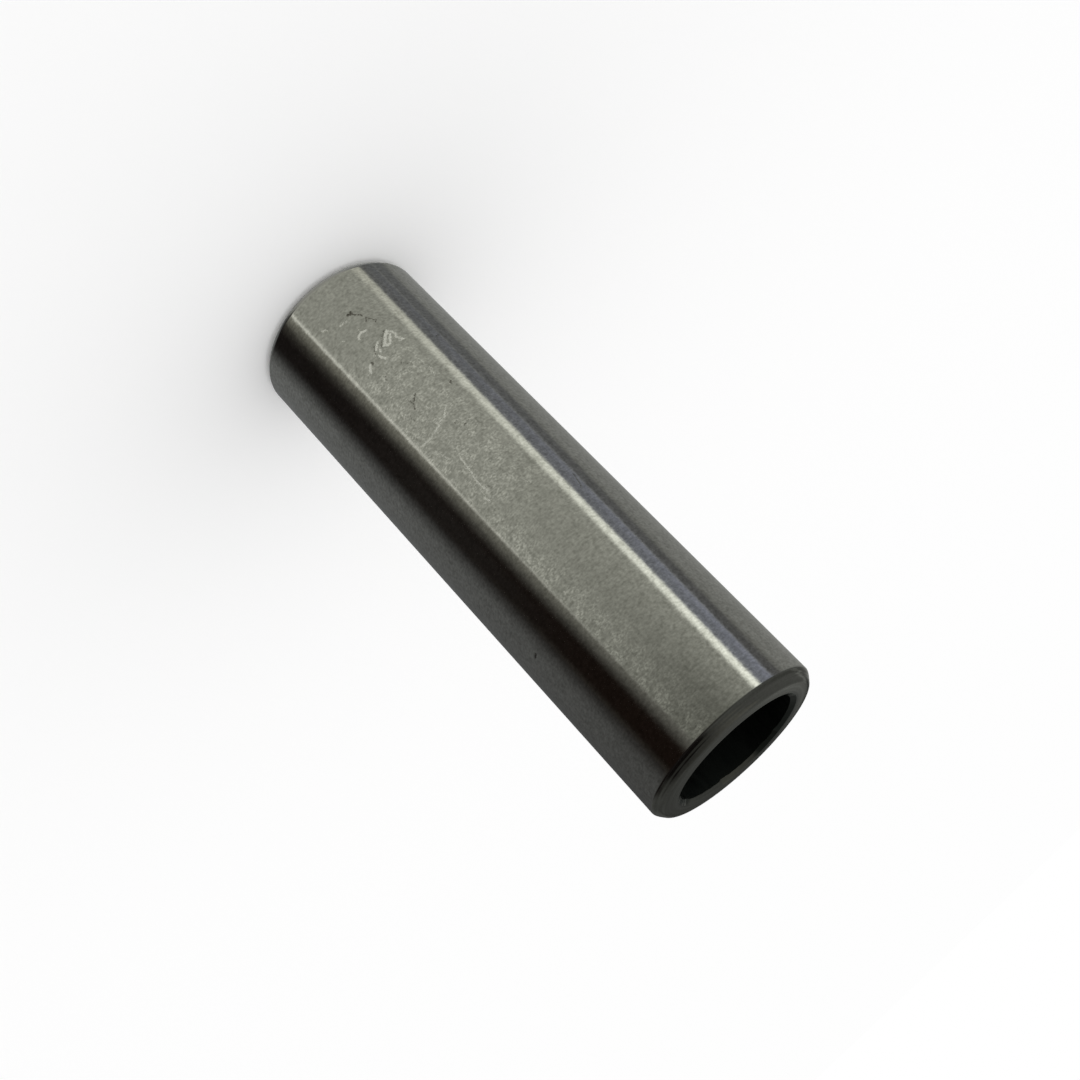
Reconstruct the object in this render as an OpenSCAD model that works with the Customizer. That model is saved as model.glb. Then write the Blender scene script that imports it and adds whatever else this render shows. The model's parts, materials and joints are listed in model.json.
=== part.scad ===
// Gudgeon pin: a hollow, ground steel pin that joins a piston to its connecting rod.
// It stands on one end: the origin is at the centre of the lower end face, with +Z along the axis.

/* [Pin] */
// Ground outside diameter, which runs in the piston bosses and the rod's small end
pin_d = 20; // [19.5:0.5:30]
// Length over the two end faces
pin_l = 65.5; // [40:0.5:100]

/* [Bore] */
// Diameter of the lightening bore, straight through
bore_d = 14; // [8:0.5:14.5]
// Radial depth of the chamfer turned at each bore mouth
mouth_chamfer = 0.5; // [0.2:0.1:0.8]
// Length of the mouth chamfer along the axis
mouth_chamfer_l = 0.3; // [0.2:0.1:1]

/* [Outer edges] */
// Radial depth of the chamfer turned on each outer edge
edge_chamfer = 0.75; // [0.5:0.05:1.2]
// Length of the edge chamfer along the axis
edge_chamfer_l = 1; // [0.5:0.1:2]
// Radius that blends the edge chamfer into the ground diameter
ground_blend_r = 0.45; // [0.1:0.05:0.6]
// Radius that blends the edge chamfer into the end face
face_blend_r = 0.8; // [0.1:0.05:0.85]

/* [Hidden] */
// Facets of every turned surface
$fn = 128;

pin_r = pin_d / 2;
bore_r = bore_d / 2;

// The edge chamfer runs from the face corner to the ground corner, as [radius, distance from the end face]
face_corner = [pin_r - edge_chamfer, 0];
ground_corner = [pin_r, edge_chamfer_l];
chamfer_dir = (ground_corner - face_corner) / norm(ground_corner - face_corner);

// How far the profile turns at each corner, and how far from the corner its blend starts
ground_turn = atan2(edge_chamfer, edge_chamfer_l);
face_turn = 90 - ground_turn;
ground_tangent = ground_blend_r * tan(ground_turn / 2);
face_tangent = face_blend_r * tan(face_turn / 2);

// Centres of the blends
ground_blend_c = ground_corner + [-ground_blend_r, ground_tangent];
face_blend_c = face_corner + [-face_tangent, face_blend_r];

// One end's profile from the bore to the ground diameter, with a straight cut under each blend
end_profile = [
    [bore_r, mouth_chamfer_l],
    [bore_r + mouth_chamfer, 0],
    face_corner - [face_tangent, 0],
    face_corner + face_tangent * chamfer_dir,
    ground_corner - ground_tangent * chamfer_dir,
    ground_corner + [0, ground_tangent],
];

function reversed(points) = [for (i = [len(points) - 1 : -1 : 0]) points[i]];

// The same point at the other end of the pin
function at_upper_end(p) = [p[0], pin_l - p[1]];

// A round at both ends of the pin
module end_rounds(centre, r) {
    for (c = [centre, at_upper_end(centre)])
        translate(c) circle(r = r);
}

// The wall's section on one side of the axis: the straight outline, then the rounds that fill its blends
module wall_section() {
    polygon(concat(end_profile, reversed([for (p = end_profile) at_upper_end(p)])));
    end_rounds(ground_blend_c, ground_blend_r);
    end_rounds(face_blend_c, face_blend_r);
}

module gudgeon_pin() {
    color([0.5, 0.5, 0.47])
        rotate_extrude() wall_section();
}

gudgeon_pin();
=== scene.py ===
import json
import math

import bmesh
import bpy
from mathutils import Matrix, Vector, noise


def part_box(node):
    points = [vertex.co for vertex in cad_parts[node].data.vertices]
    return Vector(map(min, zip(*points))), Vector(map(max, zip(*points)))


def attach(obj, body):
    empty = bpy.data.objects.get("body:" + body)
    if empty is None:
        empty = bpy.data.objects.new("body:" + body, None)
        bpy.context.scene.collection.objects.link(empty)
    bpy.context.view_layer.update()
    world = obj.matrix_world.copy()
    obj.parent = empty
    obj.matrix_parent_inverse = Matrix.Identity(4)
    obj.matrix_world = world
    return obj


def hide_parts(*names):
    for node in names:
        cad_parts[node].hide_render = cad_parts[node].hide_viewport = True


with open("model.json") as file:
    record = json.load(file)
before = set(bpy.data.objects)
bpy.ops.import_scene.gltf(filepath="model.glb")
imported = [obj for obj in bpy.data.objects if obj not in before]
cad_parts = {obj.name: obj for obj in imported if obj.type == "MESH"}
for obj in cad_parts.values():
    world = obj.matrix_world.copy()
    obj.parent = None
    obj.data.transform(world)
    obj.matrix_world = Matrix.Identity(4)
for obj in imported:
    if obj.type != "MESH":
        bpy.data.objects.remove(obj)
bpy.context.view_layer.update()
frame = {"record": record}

mm = 0.001  # the scene is in metres

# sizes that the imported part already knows
mounts = {mount["name"]: mount["dims"] for mount in frame["record"]["mounts"]}
lowCorner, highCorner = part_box("gudgeon_pin")
pinLength = highCorner[2] - lowCorner[2]
pinRadius = mounts["ground_diameter"]["r_mm"] * mm
boreRadius = mounts["bore"]["r_mm"] * mm
groundLength = mounts["ground_diameter"]["length_mm"] * mm
boreLength = mounts["bore"]["length_mm"] * mm
groundStart = (pinLength - groundLength) / 2  # from an end face to the ground diameter
mouthDepth = (pinLength - boreLength) / 2  # from an end face to the plain bore
print("sizes: pin", round(pinRadius / mm, 3), "mm radius,", round(pinLength / mm, 3), "mm long")


def deselectAll():
    if bpy.context.object and bpy.context.object.mode != "OBJECT":
        bpy.ops.object.mode_set(mode="OBJECT")
    bpy.ops.object.select_all(action="DESELECT")


# The pin is lathed: its wall section is drawn point by point and spun round the axis.
pinSpec = {
    "edgeChamfer": 0.75 * mm,  # radial depth of the outer chamfer
    "edgeChamferLength": 1.0 * mm,  # and its length along the axis
    "groundBlend": 0.45 * mm,  # radius between chamfer and ground diameter
    "faceBlend": 0.8 * mm,  # radius between chamfer and end face
    "mouthChamfer": 0.5 * mm,  # radial depth of the chamfer at the bore's mouth
    "blendSteps": 8,  # round each blend
    "faceSteps": 4,  # across the flat face
    # what the lathe tool left on the chamfer: shares of its width from the face outwards, and height
    "toolRidges": ((0.16, 0.003 * mm), (0.27, 0.011 * mm), (0.37, 0.002 * mm), (0.52, 0.003 * mm),
                   (0.68, 0.019 * mm), (0.75, 0.018 * mm), (0.96, 0.004 * mm)),
    "ringGap": 0.5 * mm,  # between rings along the ground diameter
    "boreGap": 4.0 * mm,  # between rings down the bore
    "sides": 288,  # round the pin
    "weld": 0.001 * mm,  # points closer than this become one
    "sharpAngle": 25,  # degrees, above which an edge stays sharp
}


def evenSteps(start, end, steps):
    return [start + (end - start) * step / steps for step in range(steps + 1)]


def blendArc(centre, radius, start, end, steps):
    # turns are measured from the way that the end face looks
    return [(centre[0] + radius * math.sin(turn), centre[1] - radius * math.cos(turn))
            for turn in evenSteps(start, end, steps)]


def chamferRidges(spec, start, end):
    along = (end - start).normalized()
    outward = Vector((along.y, -along.x))
    return [tuple(start.lerp(end, share) + outward * height) for share, height in spec["toolRidges"]]


def endSection(spec):
    # one end's section from the bore outwards: (radius, distance from the end face)
    slope = math.atan2(spec["edgeChamferLength"], spec["edgeChamfer"])  # from the end face to the chamfer
    mouthEdge = boreRadius + spec["mouthChamfer"]
    faceEdge = pinRadius - spec["edgeChamfer"] - spec["faceBlend"] * math.tan(slope / 2)
    face = [(radius, 0) for radius in evenSteps(mouthEdge, faceEdge, spec["faceSteps"])]
    faceCentre = (faceEdge, spec["faceBlend"])
    faceArc = blendArc(faceCentre, spec["faceBlend"], 0, slope, spec["blendSteps"])
    groundCentre = (pinRadius - spec["groundBlend"], groundStart)
    groundArc = blendArc(groundCentre, spec["groundBlend"], slope, math.pi / 2, spec["blendSteps"])
    ridges = chamferRidges(spec, Vector(faceArc[-1]), Vector(groundArc[0]))
    return [(boreRadius, mouthDepth)] + face + faceArc[1:] + ridges + groundArc


def wallSection(spec):
    lowerEnd = endSection(spec)
    upperEnd = [(radius, pinLength - depth) for radius, depth in reversed(lowerEnd)]
    ringSteps = round(groundLength / spec["ringGap"])
    ground = [(pinRadius, height) for height in evenSteps(groundStart, pinLength - groundStart, ringSteps)]
    boreSteps = round(boreLength / spec["boreGap"])
    bore = [(boreRadius, height) for height in evenSteps(pinLength - mouthDepth, mouthDepth, boreSteps)]
    return lowerEnd + ground[1:-1] + upperEnd + bore[1:]


def latheSection(name, section, spec):
    deselectAll()
    bpy.ops.mesh.primitive_plane_add(size=mm)
    piece = bpy.context.object
    piece.name = name
    piece.data.name = name
    bpy.ops.object.mode_set(mode="EDIT")
    bpy.ops.mesh.select_all(action="SELECT")
    bpy.ops.mesh.merge(type="CENTER")  # one point left, to draw with
    bpy.ops.transform.translate(value=(section[0][0], 0, section[0][1]))
    for (radius, height), (nextRadius, nextHeight) in zip(section, section[1:]):
        move = (nextRadius - radius, 0, nextHeight - height)
        bpy.ops.mesh.extrude_region_move(TRANSFORM_OT_translate={"value": move})
    bpy.ops.mesh.select_all(action="SELECT")
    bpy.ops.mesh.spin(steps=spec["sides"], angle=2 * math.pi, center=(0, 0, 0), axis=(0, 0, 1))
    bpy.ops.mesh.select_all(action="SELECT")
    bpy.ops.mesh.remove_doubles(threshold=spec["weld"])
    bpy.ops.mesh.normals_make_consistent(inside=False)
    bpy.ops.object.mode_set(mode="OBJECT")
    return piece


pin = latheSection("gudgeonPin", wallSection(pinSpec), pinSpec)
print("lathed:", len(pin.data.vertices), "points,", len(pin.data.polygons), "faces")


# Wear on the ground diameter. Each mark follows a path of (height in mm, degrees round from the camera's
# side). half is half its width and sink its depth, both in mm, and a burr's sink is below zero.
# dark is dirt in a pit, and on the two marks beside lifted edges it is painted shadow. bright is bare metal.
wearSpec = {
    "cuts": 4,  # finer mesh along every mark
    "margin": 0.2,  # mm of finer mesh beyond its edge
    "ragged": 0.5,  # how far a mark's width wanders
    "raggedPerMm": 5,
    "raggedSlice": 100,  # marks of different widths wander differently
    "crumple": 0.6,  # how uneven a mark's depth is
    "crumplePerMm": 11,
    "crumpleSlice": 3.7,
    "mostCrumple": 1.2,  # that brightens bare metal
    "slack": 0.02 * mm,  # for finding the ground diameter's points
    "level": 0.01,  # and its faces, whose normals rise no more than this
    "marks": [
        # a chain of pits near the foot
        {"path": [(6.12, -12.6), (6.3, -11.5), (6.2, -9.9)], "half": 0.24, "sink": 0.04, "dark": 0.9},
        {"path": [(6.55, -12.6), (6.8, -14.2), (7.05, -15.5), (7.3, -16.4)],
         "half": 0.14, "sink": 0.02, "dark": 0.74},
        {"path": [(7.75, -17.2), (7.95, -16.4), (8.15, -15.6)], "half": 0.15, "sink": 0.02, "dark": 0.7},
        {"path": [(7.95, -17.8), (8.3, -19.3), (8.55, -20)], "half": 0.12, "sink": 0.015, "dark": 0.68},
        {"path": [(8.6, -20.6), (8.85, -20)], "half": 0.19, "sink": 0.03, "dark": 0.72},
        {"path": [(6.75, -7), (6.6, -4.5), (6.65, -2)], "half": 0.25, "sink": -0.006, "bright": 0.55},
        {"path": [(5.4, 8), (5.75, 6)], "half": 0.25, "sink": -0.006, "bright": 0.5},
        {"path": [(8.2, 3.4), (8.4, 2.4)], "half": 0.15, "sink": -0.006, "bright": 0.45},
        # torn metal with a lifted edge, and painted shadow beside it
        {"path": [(9.1, -11.3), (8.95, -9), (9.05, -6.5), (9.4, -5)],
         "half": 0.2, "sink": -0.02, "bright": 1.0},
        {"path": [(8.45, -8.6), (8.6, -8)], "half": 0.15, "sink": -0.01, "bright": 0.5},
        # painted shadow: a dark line along the lifted edge of the torn metal next to it
        {"path": [(10.45, -19.5), (10.8, -17), (11.3, -14.2), (11.85, -11.4)],
         "half": 0.17, "sink": 0.03, "dark": 0.6},
        {"path": [(10.65, -20.5), (11, -18.2), (11.5, -15.8), (12, -13.4)],
         "half": 0.27, "sink": -0.02, "bright": 1.0},
        {"path": [(12.15, -16.5), (12.1, -14)], "half": 0.27, "sink": -0.015, "bright": 0.9},
        {"path": [(11.2, -21), (11.5, -19.5), (11.9, -18)], "half": 0.2, "sink": -0.015, "bright": 0.95},
        {"path": [(10.95, -22.5), (11.4, -23.5), (11.9, -22.8), (12.3, -23.8), (12.5, -25)],
         "half": 0.26, "sink": -0.012, "bright": 0.75},
        {"path": [(12.45, -22), (12.55, -23.5)], "half": 0.2, "sink": -0.01, "bright": 0.6},
        {"path": [(11.2, -11.5), (11.5, -9.5), (11.8, -8)], "half": 0.22, "sink": -0.01, "bright": 0.75},
        {"path": [(12.1, -9.8), (12.3, -9)], "half": 0.2, "sink": -0.01, "bright": 0.85},
        # painted shadow: a dark line beside the lifted edge of the torn metal above
        {"path": [(11.35, -8.2), (11.7, -6.8), (12.1, -6)], "half": 0.16, "sink": 0.015, "dark": 0.55},
        {"path": [(12.55, -6.8), (12.9, -7), (13.25, -8.6)], "half": 0.2, "sink": -0.015, "bright": 0.85},
        {"path": [(11.95, -4), (12.3, -5)], "half": 0.15, "sink": -0.006, "bright": 0.5},
        # a pit with a burr beside it
        {"path": [(12.65, -1), (12.9, -0.2)], "half": 0.22, "sink": 0.032, "dark": 0.7},
        {"path": [(12.75, 1), (13, 2.4), (13.4, 3.5)], "half": 0.24, "sink": -0.02, "bright": 1.0},
        {"path": [(13.4, 3.5), (13.45, 5.4)], "half": 0.13, "sink": -0.01, "bright": 0.55},
        # shallow stains and small pits
        {"path": [(11.6, 9.8), (11.8, 8.6)], "half": 0.2, "sink": 0.008, "dark": 0.42},
        {"path": [(12.55, 11.4), (12.7, 10.4)], "half": 0.2, "sink": 0.008, "dark": 0.4},
        {"path": [(14.85, -2.2), (15.1, -0.8), (15.35, 0)], "half": 0.2, "sink": 0.02, "dark": 0.52},
        {"path": [(14.85, -12), (15.2, -14.5), (15.7, -17.5)], "half": 0.25, "sink": 0.008, "dark": 0.42},
        {"path": [(18.85, -6.8), (19.3, -4), (19.5, -2.2), (20.2, -0.3)],
         "half": 0.15, "sink": 0.02, "dark": 0.65},
        {"path": [(19.5, -2.2), (18.95, -1)], "half": 0.13, "sink": 0.015, "dark": 0.55},
        {"path": [(20.45, 4.3), (20.75, 5), (21.05, 4.4)], "half": 0.16, "sink": 0.015, "dark": 0.58},
        {"path": [(19.95, -27.8), (20.2, -26.8)], "half": 0.22, "sink": 0.02, "dark": 0.65},
        {"path": [(20.5, -15.4), (20.7, -14.6)], "half": 0.2, "sink": 0.008, "dark": 0.45},
        {"path": [(24.3, -13), (24.45, -11.8)], "half": 0.18, "sink": 0.008, "dark": 0.45},
        {"path": [(25.15, -15.9), (25.3, -15)], "half": 0.18, "sink": 0.012, "dark": 0.52},
        {"path": [(32.2, -0.6), (32.45, -1.4)], "half": 0.15, "sink": 0.01, "dark": 0.48},
        # scratches and rubs
        {"path": [(22.35, -13.5), (22.6, -12), (23.05, -10), (23.15, -6.5), (23.45, -4), (23.65, 0),
                  (23.85, 4.5), (23.8, 11)], "half": 0.18, "sink": 0.008, "bright": 0.66},
        {"path": [(22.85, -3.2), (23.4, -4)], "half": 0.12, "sink": 0.006, "bright": 0.55},
        {"path": [(27.6, -0.3), (28.6, 0.3), (29.8, 1.2), (30.8, 2.4), (31.8, 2.2), (32.5, 1.4)],
         "half": 0.18, "sink": 0.008, "bright": 0.64},
        {"path": [(27.55, -2.2), (27.7, -0.5)], "half": 0.14, "sink": 0.006, "bright": 0.5},
        {"path": [(32.9, 5.9), (33.45, 4.6)], "half": 0.18, "sink": -0.008, "bright": 0.7},
        {"path": [(15.9, 1.2), (16.3, 3)], "half": 0.15, "sink": -0.006, "bright": 0.55},
        {"path": [(17.3, -24), (18.3, -23)], "half": 0.35, "sink": -0.005, "bright": 0.45},
        {"path": [(19.7, 7.8), (20.3, 6.8)], "half": 0.18, "sink": -0.006, "bright": 0.52},
        {"path": [(20.8, -6.2), (21.3, -6.8)], "half": 0.16, "sink": -0.006, "bright": 0.5},
        {"path": [(24.9, -18.5), (25.1, -21)], "half": 0.15, "sink": -0.006, "bright": 0.45},
        {"path": [(25.3, 8.2), (25.8, 7), (26.6, 5.6), (27, 7)],
         "half": 0.15, "sink": -0.006, "bright": 0.52},
        {"path": [(34.4, -18), (34.7, -19.5)], "half": 0.25, "sink": -0.005, "bright": 0.45},
        # single nicks on the sides
        {"path": [(13.7, -46), (13.9, -43.5)], "half": 0.1, "sink": 0.015, "dark": 0.7},
        {"path": [(36.2, -44.3), (37.5, -42.5), (38.1, -40.5)], "half": 0.09, "sink": 0.012, "dark": 0.6},
        {"path": [(46.9, 50.2), (47, 53)], "half": 0.18, "sink": 0.03, "dark": 0.9},
    ],
}


def unroll(point):
    # length round the pin from the camera's side, and height, in mm
    return Vector((math.atan2(point.x, -point.y) * pinRadius / mm, point.z / mm))


def unrollPath(path):
    return [Vector((math.radians(degrees) * pinRadius / mm, height)) for height, degrees in path]


def distanceTo(line, place):
    nearest = math.inf
    for start, end in zip(line, line[1:]):
        along = end - start
        share = min(max((place - start).dot(along) / along.length_squared, 0), 1)
        nearest = min(nearest, (start + along * share - place).length)
    return nearest


def markBox(line, reach):
    xs = [point.x for point in line]
    ys = [point.y for point in line]
    return min(xs) - reach, max(xs) + reach, min(ys) - reach, max(ys) + reach


def isNear(mark, place, margin):
    left, right, bottom, top = mark["box"]
    if not (left - margin < place.x < right + margin and bottom - margin < place.y < top + margin):
        return False
    return distanceTo(mark["line"], place) < mark["reach"] + margin


def refineMarks(piece, spec):
    deselectAll()
    bpy.context.view_layer.objects.active = piece
    bpy.ops.object.mode_set(mode="EDIT")
    bpy.ops.mesh.select_mode(type="FACE")
    bpy.ops.mesh.select_all(action="DESELECT")
    mesh = bmesh.from_edit_mesh(piece.data)
    for face in mesh.faces:
        middle = face.calc_center_median()
        if abs(face.normal.z) < spec["level"] and middle.to_2d().length > pinRadius - spec["slack"]:
            place = unroll(middle)
            face.select_set(any(isNear(mark, place, spec["margin"]) for mark in spec["marks"]))
    bmesh.update_edit_mesh(piece.data)
    bpy.ops.mesh.subdivide(number_cuts=spec["cuts"])
    bpy.ops.object.mode_set(mode="OBJECT")


def pressAt(mark, place, spec):
    # how far a mark is pressed in at a place, from 0 to 1, and how crumpled it is there
    wander = noise.noise(Vector((*(place * spec["raggedPerMm"]), mark["half"] * spec["raggedSlice"])))
    share = distanceTo(mark["line"], place) / (mark["half"] * (1 + spec["ragged"] * wander))
    press = (1 - share * share) ** 2 if share < 1 else 0.0
    bumps = noise.noise(Vector((*(place * spec["crumplePerMm"]), spec["crumpleSlice"])))
    return press, 1 + spec["crumple"] * bumps


def pressMarks(piece, spec):
    mesh = piece.data
    dark = [0.0] * len(mesh.vertices)
    bright = [0.0] * len(mesh.vertices)
    for vertex in mesh.vertices:
        radius = vertex.co.to_2d().length
        if abs(radius - pinRadius) > spec["slack"] or not groundStart < vertex.co.z < pinLength - groundStart:
            continue
        outward = Vector((vertex.co.x, vertex.co.y, 0)) / radius
        vertex.co += outward * (pinRadius - radius)  # new points go out to the true round
        place = unroll(vertex.co)
        for mark in spec["marks"]:
            if not isNear(mark, place, 0):
                continue
            press, crumple = pressAt(mark, place, spec)
            vertex.co -= outward * mark["sink"] * mm * press * crumple
            shown = press ** 0.5
            lit = shown * min(crumple, spec["mostCrumple"])
            dark[vertex.index] = max(dark[vertex.index], mark.get("dark", 0) * shown)
            bright[vertex.index] = max(bright[vertex.index], mark.get("bright", 0) * lit)
    # the dark values hold dirt in pits and painted shadow beside lifted edges, the bright ones bare metal
    for name, values in (("pitDirtAndShadow", dark), ("bareMetal", bright)):
        attribute = mesh.attributes.new(name, "FLOAT", "POINT")
        attribute.data.foreach_set("value", values)


for mark in wearSpec["marks"]:
    mark["line"] = unrollPath(mark["path"])
    mark["reach"] = mark["half"] * (1 + wearSpec["ragged"])
    mark["box"] = markBox(mark["line"], mark["reach"])
refineMarks(pin, wearSpec)
pressMarks(pin, wearSpec)
print("worn:", len(wearSpec["marks"]), "marks,", len(pin.data.polygons), "faces")

# The mouth's edge at the upper end is chipped: (degrees round, half width in degrees, depth in mm).
chipSpec = {
    "chips": [(104, 6, 0.1), (124, 4, 0.03), (135, 4, 0.04), (143, 3, 0.04), (148, 3.5, 0.05),
              (153, 2.5, 0.18), (157.5, 3, 0.13), (164, 5, 0.05), (171, 3, 0.03), (196, 7, 0.06),
              (214, 4, 0.07)],
    "ragged": 0.02,  # mm, all round both mouths
    "raggedPerMm": 1.7,
    "slack": 0.01 * mm,  # for finding the points of the mouths' edges
}


def chipMouth(piece, spec):
    for vertex in piece.data.vertices:
        depth = min(vertex.co.z, pinLength - vertex.co.z)
        if vertex.co.to_2d().length > boreRadius + spec["slack"] or depth > mouthDepth + spec["slack"]:
            continue
        degrees = math.degrees(math.atan2(vertex.co.x, -vertex.co.y)) % 360
        drop = spec["ragged"] * (1 + noise.noise(vertex.co / mm * spec["raggedPerMm"]))
        if vertex.co.z > pinLength / 2:
            for centre, half, chip in spec["chips"]:
                share = abs(degrees - centre) / half
                drop += chip * (1 - share) ** 0.5 if share < 1 else 0.0
            vertex.co.z -= drop * mm
        else:
            vertex.co.z += drop * mm


chipMouth(pin, chipSpec)
print("chipped:", len(chipSpec["chips"]), "nicks in the upper mouth")


# Node helpers, shared by the materials.
noiseMiddle = 0.5
noiseSpan = (0.3, 0.7)  # of one noise, stretched to the whole range
toneSpan = (0.36, 0.64)  # the same for a sum of noises


def addNode(tree, kind, inputs=None, **settings):
    node = tree.nodes.new(kind)
    for name, value in settings.items():
        setattr(node, name, value)
    for socket, value in (inputs or {}).items():
        if isinstance(value, bpy.types.NodeSocket):
            tree.links.new(value, node.inputs[socket])
        else:
            node.inputs[socket].default_value = value
    return node


def calc(tree, operation, first, second=0.0):
    return addNode(tree, "ShaderNodeMath", {0: first, 1: second}, operation=operation).outputs[0]


def times(tree, product, *others):
    for other in others:
        product = calc(tree, "MULTIPLY", product, other)
    return product


def addUp(tree, *parts):
    # the sum of values, each times its own weight
    total = 0.0
    for value, weight in parts:
        total = calc(tree, "ADD", total, calc(tree, "MULTIPLY", value, weight))
    return total


def farOut(tree, x, y):
    return calc(tree, "SQRT", addUp(tree, (x, x), (y, y)))


def degreesRound(tree, x, y):
    # from the camera's side
    return calc(tree, "DEGREES", calc(tree, "ARCTAN2", x, calc(tree, "MULTIPLY", y, -1.0)))


def ramp(tree, value, start, end, low=0.0, high=1.0, smooth=False):
    kind = "SMOOTHSTEP" if smooth else "LINEAR"
    inputs = {"Value": value, "From Min": start, "From Max": end, "To Min": low, "To Max": high}
    return addNode(tree, "ShaderNodeMapRange", inputs, interpolation_type=kind).outputs["Result"]


def blendColours(tree, share, first, second):
    node = addNode(tree, "ShaderNodeMix", {"Factor": share}, data_type="RGBA")
    for socket, value in ((node.inputs[6], first), (node.inputs[7], second)):
        if isinstance(value, bpy.types.NodeSocket):
            tree.links.new(value, socket)
        else:
            socket.default_value = (*value, 1)
    return node.outputs[2]


def objectMm(tree):
    # object coordinates in millimetres
    coords = addNode(tree, "ShaderNodeTexCoord")
    inputs = {0: coords.outputs["Object"], "Scale": 1 / mm}
    return addNode(tree, "ShaderNodeVectorMath", inputs, operation="SCALE").outputs["Vector"]


def splitPoint(tree, point):
    return addNode(tree, "ShaderNodeSeparateXYZ", {0: point}).outputs


def speckle(tree, point, perMm, detail=3.0):
    # noise with its own number of grains per millimetre along x, y and z
    place = addNode(tree, "ShaderNodeMapping", {"Vector": point, "Scale": perMm}).outputs["Vector"]
    inputs = {"Vector": place, "Scale": 1.0, "Detail": detail}
    return addNode(tree, "ShaderNodeTexNoise", inputs, normalize=True).outputs["Fac"]


def addBump(tree, height, depth, under=None):
    inputs = {"Height": height, "Strength": 1.0, "Distance": depth}
    if under:
        inputs["Normal"] = under
    return addNode(tree, "ShaderNodeBump", inputs).outputs["Normal"]


def newSurface(name):
    material = bpy.data.materials.new(name)
    material.use_nodes = True
    return material, material.node_tree, material.node_tree.nodes["Principled BSDF"]


groundSpec = {
    "dark": (0.345, 0.345, 0.32),
    "light": (0.605, 0.605, 0.572),
    "polish": (0.07, 0.12),  # roughness from and to
    "grain": (2.0, 2.0, 5.2),  # grinding lines per mm: they run round the pin
    "grainDepth": 0.0012 * mm,
    "grainWeight": 0.37,  # in the tone
    "mottle": (3.0, 3.0, 3.0),
    "mottleDepth": 0.0027 * mm,
    "mottleWeight": 0.43,
    "blotch": (0.9, 0.9, 0.9),
    "blotchWeight": 0.2,
    "rubbed": (0.9, 0.9, 0.856),  # light flecks where the pin has rubbed
    "fleck": (3.6, 3.6, 5.2),
    "fleckSpan": (0.45, 0.67),
    "patchSpan": (0.38, 0.62),  # of the blotches, which thin the flecks out
    "patchLeast": 0.2,
    "bossFrom": (-31, -23),  # degrees round, none and full, of the patch that ran in a boss
    "bossHeight": ((9, 15), (33, 38)),  # mm up the pin, where that patch comes in and goes out
    "bossShare": 0.95,
    "trackFrom": (-8, 8),  # degrees round, of the rubbed track along the pin
    "trackHeight": (9, 22),
    "rubbedTo": (12.5, 15.5),  # degrees round, where both end
    # the tone of dirt in pits, also used for the painted shadow beside lifted edges
    "dirtAndShadow": (0.15, 0.142, 0.124),
    "bare": (0.84, 0.84, 0.785),
    "bareScatter": 0.18,  # torn metal is rough and scatters some light
    "markRoughness": 0.3,  # added in pits and on torn metal
    "tear": (6.5, 6.5, 6.5),  # breaks up the edges of pits and scratches
    "tearDepth": 1.9,
    "tearFrom": 0.15,  # share of a mark, below which it fades out
    "tearSpan": (0.3, 0.8),
    "fineDetail": 4.0,  # of the flecks and the torn edges
}


def tornEdge(tree, name, tear, spec):
    # a pressed mark's share, with its edge broken up
    mark = addNode(tree, "ShaderNodeAttribute", attribute_name=name).outputs["Fac"]
    uneven = times(tree, calc(tree, "SUBTRACT", tear, noiseMiddle), spec["tearDepth"])
    present = ramp(tree, mark, 0.0, spec["tearFrom"])
    return times(tree, present, ramp(tree, calc(tree, "ADD", mark, uneven), *spec["tearSpan"]))


def rubbedShare(tree, point, spec):
    x, y, height = splitPoint(tree, point)
    degrees = degreesRound(tree, x, y)
    start, end = spec["bossHeight"]
    boss = times(tree, ramp(tree, height, *start), ramp(tree, height, *end, spec["bossShare"], 0.0),
                 ramp(tree, degrees, *spec["bossFrom"]))
    track = times(tree, ramp(tree, degrees, *spec["trackFrom"]), ramp(tree, height, *spec["trackHeight"]))
    zone = times(tree, calc(tree, "MAXIMUM", boss, track), ramp(tree, degrees, *spec["rubbedTo"], 1.0, 0.0))
    patch = ramp(tree, speckle(tree, point, spec["blotch"]), *spec["patchSpan"], spec["patchLeast"], 1.0)
    fleck = ramp(tree, speckle(tree, point, spec["fleck"], spec["fineDetail"]), *spec["fleckSpan"])
    return times(tree, zone, patch, fleck)


def makeGroundSteel(spec):
    material, tree, shader = newSurface("groundSteel")
    point = objectMm(tree)
    grain = speckle(tree, point, spec["grain"])
    mottle = speckle(tree, point, spec["mottle"])
    blotch = speckle(tree, point, spec["blotch"])
    tone = addUp(tree, (grain, spec["grainWeight"]), (mottle, spec["mottleWeight"]),
                 (blotch, spec["blotchWeight"]))
    colour = blendColours(tree, ramp(tree, tone, *toneSpan), spec["dark"], spec["light"])
    colour = blendColours(tree, rubbedShare(tree, point, spec), colour, spec["rubbed"])

    tear = speckle(tree, point, spec["tear"], spec["fineDetail"])
    # dark marks: dirt in pits, and painted shadow beside lifted edges
    dirtAndShadow = tornEdge(tree, "pitDirtAndShadow", tear, spec)
    bare = tornEdge(tree, "bareMetal", tear, spec)
    colour = blendColours(tree, dirtAndShadow, colour, spec["dirtAndShadow"])
    colour = blendColours(tree, bare, colour, spec["bare"])
    tree.links.new(colour, shader.inputs["Base Color"])
    marked = times(tree, calc(tree, "ADD", dirtAndShadow, bare), spec["markRoughness"])
    roughness = calc(tree, "ADD", ramp(tree, mottle, *noiseSpan, *spec["polish"]), marked)
    tree.links.new(roughness, shader.inputs["Roughness"])
    tree.links.new(ramp(tree, bare, 0.0, 1.0, 1.0, 1 - spec["bareScatter"]), shader.inputs["Metallic"])

    lines = addBump(tree, grain, spec["grainDepth"])
    tree.links.new(addBump(tree, mottle, spec["mottleDepth"], lines), shader.inputs["Normal"])
    return material


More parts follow.
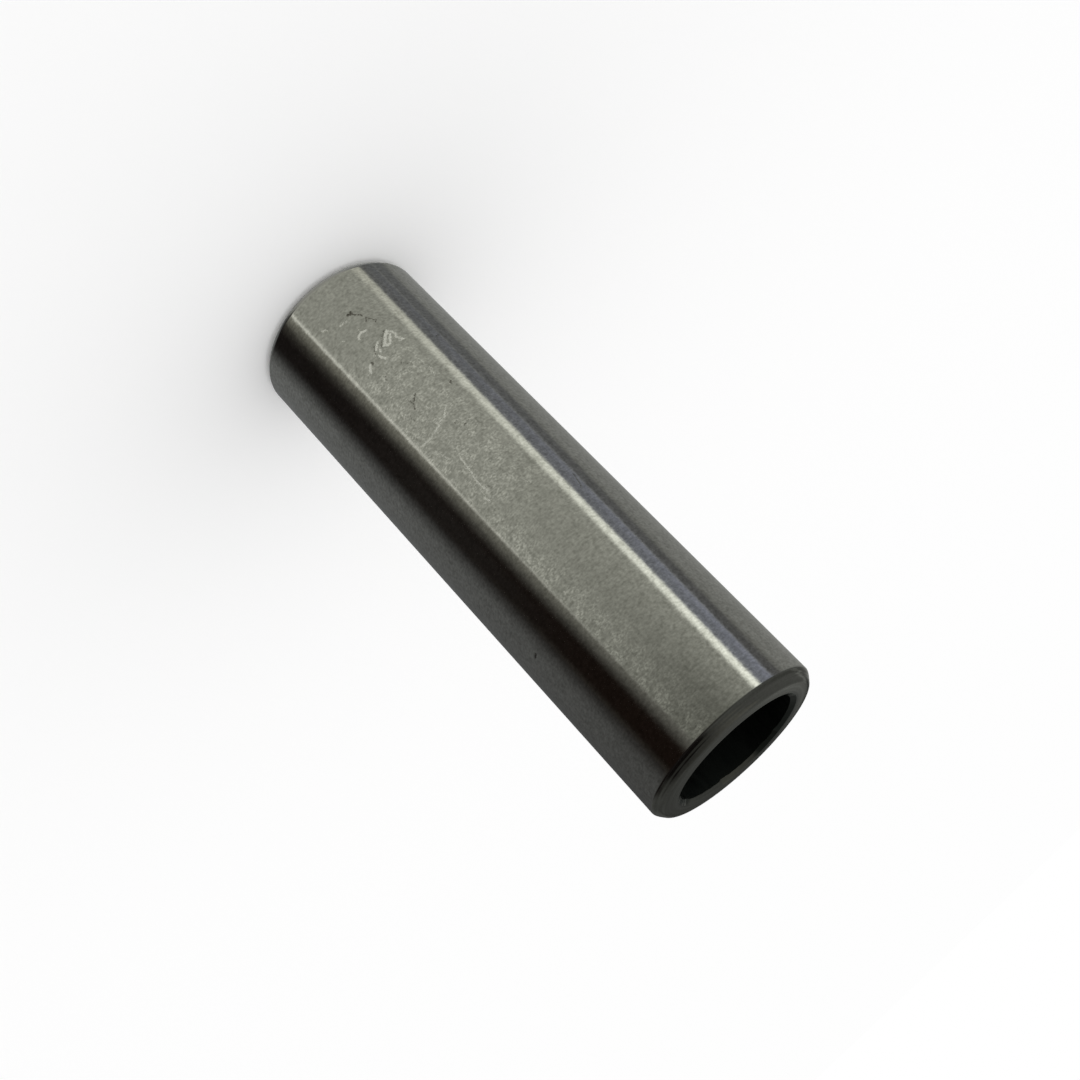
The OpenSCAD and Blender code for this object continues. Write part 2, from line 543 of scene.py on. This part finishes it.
turnedSpec = {
    "dark": (0.34, 0.34, 0.315),
    "light": (0.55, 0.55, 0.53),
    "polish": (0.11, 0.16),
    "rings": (3.2, 3.2, 0.1),  # tool marks per mm along the radius, along the axis and round
    "ringDetail": 2.0,
    "ringDepth": 0.004 * mm,
    "ringWeight": 0.75,  # in the tone
    "mottle": (4.0, 4.0, 4.0),
    "mottleWeight": 0.25,
    "skinAndShade": (0.1, 0.112, 0.106),  # dark skin of the bore, which laps round its mouth, with painted shade where it reaches further out
    "skinAndShadeCentre": (-0.155, 0.42),  # mm off the axis, towards the side away from the camera, where the painted shade reaches further out
    "skinAndShadeEdge": (7.14, 8.02),  # mm from there, full and none
    "skinAndShadeWander": 0.4,  # mm
    "bareMiddle": 146,  # degrees round, of the chipped part that is worn bare
    "bareReach": (42, 32),  # degrees from there, where the skin is whole and where it is worn
    "bareSkinAndShade": 0.28,  # share of the skin and painted shade that is left there
}


# the bore's dark skin round the mouth, with painted shade: its middle lies off the axis, so it reaches
# further out on the side away from the camera
def mouthSkinAndShade(tree, x, y, mottle, spec):
    centreX, centreY = spec["skinAndShadeCentre"]
    reach = farOut(tree, calc(tree, "SUBTRACT", x, centreX), calc(tree, "SUBTRACT", y, centreY))
    wander = times(tree, calc(tree, "SUBTRACT", mottle, noiseMiddle), spec["skinAndShadeWander"])
    skinAndShade = ramp(tree, calc(tree, "ADD", reach, wander), *spec["skinAndShadeEdge"], 1.0, 0.0, smooth=True)
    middle = math.radians(spec["bareMiddle"])
    towards = calc(tree, "DIVIDE", addUp(tree, (x, math.sin(middle)), (y, -math.cos(middle))), reach)
    whole, worn = [math.cos(math.radians(degrees)) for degrees in spec["bareReach"]]
    return times(tree, skinAndShade, ramp(tree, towards, whole, worn, 1.0, spec["bareSkinAndShade"], smooth=True))


def toolMarks(tree, x, y, height, spec):
    alongRadius, alongAxis, around = spec["rings"]
    place = addNode(tree, "ShaderNodeCombineXYZ", {0: times(tree, farOut(tree, x, y), alongRadius),
                                                   1: times(tree, height, alongAxis),
                                                   2: times(tree, x, around)})
    inputs = {"Vector": place.outputs[0], "W": times(tree, y, around), "Scale": 1.0,
              "Detail": spec["ringDetail"]}
    return addNode(tree, "ShaderNodeTexNoise", inputs, noise_dimensions="4D", normalize=True).outputs["Fac"]


def makeTurnedSteel(spec):
    material, tree, shader = newSurface("turnedSteel")
    point = objectMm(tree)
    x, y, height = splitPoint(tree, point)
    rings = toolMarks(tree, x, y, height, spec)
    mottle = speckle(tree, point, spec["mottle"])
    tone = addUp(tree, (rings, spec["ringWeight"]), (mottle, spec["mottleWeight"]))
    colour = blendColours(tree, ramp(tree, tone, *toneSpan), spec["dark"], spec["light"])
    # the bore's dark skin round the mouth, with painted shade on the side away from the camera
    colour = blendColours(tree, mouthSkinAndShade(tree, x, y, mottle, spec), colour, spec["skinAndShade"])
    tree.links.new(colour, shader.inputs["Base Color"])
    tree.links.new(ramp(tree, mottle, *noiseSpan, *spec["polish"]), shader.inputs["Roughness"])
    tree.links.new(addBump(tree, rings, spec["ringDepth"]), shader.inputs["Normal"])
    shader.inputs["Metallic"].default_value = 1.0
    return material


boreSpec = {
    "dark": (0.1, 0.12, 0.115),
    "light": (0.17, 0.19, 0.18),
    "roughness": (0.45, 0.65),
    "scale": (1.5, 1.5, 0.4),  # patches per mm, drawn out along the bore
    "scaleDepth": 0.01 * mm,
    "slack": 0.1 * mm,  # for finding the bore's faces
}


def makeBoreSteel(spec):
    material, tree, shader = newSurface("boreSteel")
    scale = speckle(tree, objectMm(tree), spec["scale"])
    tree.links.new(blendColours(tree, scale, spec["dark"], spec["light"]), shader.inputs["Base Color"])
    tree.links.new(ramp(tree, scale, *noiseSpan, *spec["roughness"]), shader.inputs["Roughness"])
    tree.links.new(addBump(tree, scale, spec["scaleDepth"]), shader.inputs["Normal"])
    shader.inputs["Metallic"].default_value = 1.0
    return material


finishes = {"ground": 0, "turned": 1, "bore": 2}  # places in the pin's list of materials


def finishPin(piece):
    for material in (makeGroundSteel(groundSpec), makeTurnedSteel(turnedSpec), makeBoreSteel(boreSpec)):
        piece.data.materials.append(material)
    for face in piece.data.polygons:
        radius = face.center.to_2d().length
        depth = min(face.center.z, pinLength - face.center.z)
        if depth > mouthDepth and radius < boreRadius + boreSpec["slack"]:
            face.material_index = finishes["bore"]
        elif depth < groundStart:
            face.material_index = finishes["turned"]
        else:
            face.material_index = finishes["ground"]


finishPin(pin)
deselectAll()
pin.select_set(True)
bpy.context.view_layer.objects.active = pin
bpy.ops.object.shade_smooth_by_angle(angle=math.radians(pinSpec["sharpAngle"]))
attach(pin, "root")
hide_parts("gudgeon_pin")
print("finished: three kinds of steel on", len(pin.data.polygons), "faces")


# The stage: a white floor, a white sky, and a round studio wall that only the steel mirrors.
stageSpec = {
    "floorSize": 6.0,
    "floorTone": (0.99, 0.99, 0.99),
    "floorDrop": 0.01 * mm,  # under the pin's end face
    "wallRadius": 300 * mm,
    "wallSides": 180,
    "wallFoot": -600 * mm,
    "wallTop": 600 * mm,
    "lowLine": -218 * mm,  # mirrored by the pin's foot
    "highLine": -8 * mm,  # mirrored by its upper end
}

# The wall's panels, each painted over those before it. edges are a panel's two sides, in degrees from the
# camera's side. A panel that leans has them at the low line and at the high line instead. soft is how soft
# each side is, and fade holds the low tone further up.
panels = {
    "paleWall": {"low": (-200, -120.5), "high": (-200, -104), "soft": (1, 6),
                 "lowTone": (0.305, 0.31, 0.3), "highTone": (0.285, 0.288, 0.275)},
    "shade": {"low": (-120.5, -99.5), "high": (-104, -87.3), "soft": (8, 2),
              "lowTone": (0.185, 0.19, 0.195), "highTone": (0.13, 0.13, 0.132)},
    "blueCard": {"low": (-99.5, -79), "high": (-87.3, -67), "soft": (2.5, 1.5),
                 "lowTone": (0.18, 0.185, 0.194), "highTone": (0.342, 0.358, 0.44)},
    "cardShade": {"low": (-90, -79), "high": (-81, -67), "soft": (5, 1.5),
                  "lowTone": (0.18, 0.183, 0.186), "highTone": (0.266, 0.28, 0.33)},
    "stripLight": {"low": (-79.2, -68), "high": (-68.2, -59.4), "soft": (2.7, 3.6),
                   "lowTone": (0.66, 0.66, 0.585), "highTone": (1.55, 1.58, 1.45)},
    "wrapShade": {"edges": (-32, 60), "soft": (24, 1), "fade": 4,
                  "lowTone": (0.458, 0.463, 0.415), "highTone": (0.18, 0.183, 0.16)},
    "edgeStrip": {"low": (28.6, 32.6), "high": (28.2, 33.4), "soft": (1.5, 1.3), "fade": 3,
                  "lowTone": (0.96, 0.96, 0.885), "highTone": (0.2, 0.2, 0.18)},
    "halfShade": {"low": (32.8, 90), "high": (28, 90), "soft": (1.6, 1), "fade": 1.5,
                  "lowTone": (0.285, 0.28, 0.24), "highTone": (0.156, 0.154, 0.138)},
    "dimWall": {"edges": (75, 200), "soft": (1, 1),
                "lowTone": (0.2, 0.205, 0.205), "highTone": (0.1, 0.101, 0.1)},
    "dimBack": {"edges": (140, 200), "soft": (28, 1),
                "lowTone": (0.175, 0.18, 0.18), "highTone": (0.068, 0.069, 0.069)},
    "backRight": {"edges": (176, 200), "soft": (5, 1),
                  "lowTone": (0.24, 0.245, 0.24), "highTone": (0.175, 0.178, 0.17)},
    "backLeft": {"edges": (-200, -176), "soft": (1, 5),
                 "lowTone": (0.24, 0.245, 0.24), "highTone": (0.175, 0.178, 0.17)},
}
# Above the high line the wall has one tone. These panels lie over that and over the others, and foot and head
# are where one comes in and goes out, in mm from the pin's foot up.
tallPanels = {
    "darkRail": {"edges": (-20, 110), "soft": (30, 20), "foot": (8, 90), "head": (210, 320),
                 "tone": (0.046, 0.045, 0.04)},
    "rimShade": {"edges": (8, 112), "soft": (26, 24), "foot": (120, 240), "tone": (0.044, 0.044, 0.04)},
    "faceDim": {"edges": (128, 178), "soft": (18, 2), "foot": (60, 120), "tone": (0.069, 0.071, 0.066)},
    "faceGlow": {"edges": (-177, -108), "soft": (3, 22), "foot": (118, 125), "head": (141, 153),
                 "tone": (0.196, 0.2, 0.186)},
    "faceShadeRight": {"edges": (150, 200), "soft": (12, 1), "foot": (96, 116), "head": (128.4, 131.2),
                       "tone": (0.044, 0.045, 0.042)},
    "faceShadeLeft": {"edges": (-200, -160), "soft": (1, 8), "foot": (60, 90), "head": (126.5, 131.5),
                      "tone": (0.038, 0.04, 0.038)},
    "flagEdge": {"low": (41, 68), "high": (34, 61), "soft": (8, 5), "head": (8, 40),
                 "lowTone": (0.062, 0.058, 0.05), "highTone": (0.16, 0.158, 0.142)},
    "blackFlag": {"low": (51, 91.5), "high": (37, 82.5), "soft": (9, 17.5), "head": (100, 200),
                  "lowTone": (0.0145, 0.012, 0.0115), "highTone": (0.0135, 0.0085, 0.0065)},
    "flagGlow": {"edges": (53, 75), "soft": (7, 8), "foot": (-195, -125), "head": (-115, -45),
                 "tone": (0.021, 0.018, 0.0165)},
    "rimFlagLow": {"edges": (14, 116), "soft": (14, 14), "foot": (30, 80), "head": (170, 250),
                   "tone": (0.012, 0.0095, 0.009)},
    "rimFlagHigh": {"edges": (18, 94), "soft": (10, 10), "foot": (170, 250), "head": (325, 400),
                    "tone": (0.007, 0.0055, 0.0052)},
    "rimFlagTop": {"edges": (18, 70), "soft": (12, 10), "foot": (290, 380), "head": (420, 520),
                   "tone": (0.007, 0.0055, 0.0052)},
}
# the wall between the panels, and above the high line
bareWall = {"lowTone": (0.458, 0.463, 0.415), "highTone": (0.37, 0.375, 0.335), "fade": 4}
upperWall = {"tone": (0.096, 0.098, 0.091), "foot": (8, 110)}
# The discs that close the wall: their two tones and where, in mm, one becomes the other.
discs = [
    {"name": "roof", "height": stageSpec["wallTop"], "along": "X", "blend": (-150, 150),
     "tones": ((0.122, 0.122, 0.108), (0.056, 0.056, 0.05))},
    {"name": "pitFloor", "height": stageSpec["wallFoot"], "along": "X", "blend": (85, 120),
     "tones": ((0.42, 0.42, 0.385), (0.05, 0.05, 0.048))},
]


def newGlow(name):
    material = bpy.data.materials.new(name)
    material.use_nodes = True
    material.cycles.emission_sampling = "NONE"
    tree = material.node_tree
    tree.nodes.remove(tree.nodes["Principled BSDF"])
    glow = addNode(tree, "ShaderNodeEmission", {"Strength": 1.0})
    tree.links.new(glow.outputs[0], tree.nodes["Material Output"].inputs["Surface"])
    return material, tree, glow


def panelEdge(tree, rise, panel, side):
    if "edges" in panel:
        return panel["edges"][side]
    return ramp(tree, rise, 0, 1, panel["low"][side], panel["high"][side])


def panelShare(tree, azimuth, rise, height, panel):
    # how much of a panel shows: 0 outside its sides, 1 inside
    shares = []
    for side, inwards in ((0, 1), (1, -1)):
        across = times(tree, calc(tree, "SUBTRACT", azimuth, panelEdge(tree, rise, panel, side)), inwards)
        shares.append(ramp(tree, across, -panel["soft"][side], panel["soft"][side], smooth=True))
    if "foot" in panel:
        shares.append(ramp(tree, height, *panel["foot"], smooth=True))
    if "head" in panel:
        shares.append(ramp(tree, height, *panel["head"], 1.0, 0.0, smooth=True))
    return times(tree, *shares)


def panelTone(tree, rise, panel):
    if "tone" in panel:
        return panel["tone"]
    share = calc(tree, "POWER", rise, panel.get("fade", 1))
    return blendColours(tree, share, panel["lowTone"], panel["highTone"])


def layPanels(tree, colour, group, azimuth, rise, height):
    for panel in group.values():
        share = panelShare(tree, azimuth, rise, height, panel)
        colour = blendColours(tree, share, colour, panelTone(tree, rise, panel))
    return colour


def makeWallPaint(spec):
    material, tree, glow = newGlow("studioWall")
    x, y, height = splitPoint(tree, objectMm(tree))
    azimuth = degreesRound(tree, x, y)
    rise = ramp(tree, height, spec["lowLine"] / mm, spec["highLine"] / mm)
    colour = layPanels(tree, panelTone(tree, rise, bareWall), panels, azimuth, rise, height)
    above = ramp(tree, height, *upperWall["foot"], smooth=True)
    colour = blendColours(tree, above, colour, upperWall["tone"])
    colour = layPanels(tree, colour, tallPanels, azimuth, rise, height)
    tree.links.new(colour, glow.inputs["Color"])
    return material


def makeDiscPaint(disc):
    # two tones, blended along one direction
    material, tree, glow = newGlow(disc["name"])
    along = splitPoint(tree, objectMm(tree))[disc["along"]]
    colour = blendColours(tree, ramp(tree, along, *disc["blend"], smooth=True), *disc["tones"])
    tree.links.new(colour, glow.inputs["Color"])
    return material


def glossOnly(piece):
    for rays in ("camera", "diffuse", "shadow", "transmission", "volume_scatter"):
        setattr(piece, "visible_" + rays, False)


def makeFloor(spec):
    deselectAll()
    bpy.ops.mesh.primitive_plane_add(size=spec["floorSize"], location=(0, 0, -spec["floorDrop"]))
    floor = bpy.context.object
    floor.name = "floor"
    paint, _, shader = newSurface("floorPaint")
    shader.inputs["Base Color"].default_value = (*spec["floorTone"], 1)
    shader.inputs["Roughness"].default_value = 1.0
    shader.inputs["Specular IOR Level"].default_value = 0.0
    floor.data.materials.append(paint)
    floor.visible_glossy = False


def makeWall(spec):
    deselectAll()
    middle = (spec["wallTop"] + spec["wallFoot"]) / 2
    bpy.ops.mesh.primitive_cylinder_add(vertices=spec["wallSides"], radius=spec["wallRadius"],
                                        depth=spec["wallTop"] - spec["wallFoot"], end_fill_type="NOTHING",
                                        location=(0, 0, middle))
    bpy.ops.object.transform_apply(location=True)
    wall = bpy.context.object
    wall.name = "studioWall"
    wall.data.materials.append(makeWallPaint(spec))
    glossOnly(wall)


def makeDisc(disc, spec):
    deselectAll()
    bpy.ops.mesh.primitive_circle_add(vertices=spec["wallSides"], radius=spec["wallRadius"], fill_type="NGON",
                                      location=(0, 0, disc["height"]))
    bpy.ops.object.transform_apply(location=True)
    plate = bpy.context.object
    plate.name = disc["name"]
    plate.data.materials.append(makeDiscPaint(disc))
    glossOnly(plate)


makeFloor(stageSpec)
makeWall(stageSpec)
for disc in discs:
    makeDisc(disc, stageSpec)

world = bpy.data.worlds.new("whiteRoom")
bpy.context.scene.world = world
world.use_nodes = True
world.node_tree.nodes["Background"].inputs["Color"].default_value = (1, 1, 1, 1)
world.node_tree.nodes["Background"].inputs["Strength"].default_value = 1.0

cameraSpec = {
    "lens": 47.459,  # mm
    "sensor": 36.0,  # mm
    "nearest": 1 * mm,
    "place": (-0.11 * mm, -133.74 * mm, 95.07 * mm),
    "tilt": 23.937,  # degrees down from level
    "roll": 136.453,  # degrees about the line of sight
}
deselectAll()
bpy.ops.object.camera_add(location=(0, 0, 0))
camera = bpy.context.object
camera.name = "photoCamera"
camera.data.lens = cameraSpec["lens"]
camera.data.sensor_width = cameraSpec["sensor"]
camera.data.clip_start = cameraSpec["nearest"]
turn = Matrix.Rotation(math.radians(90 - cameraSpec["tilt"]), 4, "X")
roll = Matrix.Rotation(math.radians(cameraSpec["roll"]), 4, "Z")
camera.matrix_world = Matrix.Translation(cameraSpec["place"]) @ turn @ roll
bpy.context.scene.camera = camera
bpy.context.scene.view_settings.view_transform = "Standard"
print("stage and camera set")
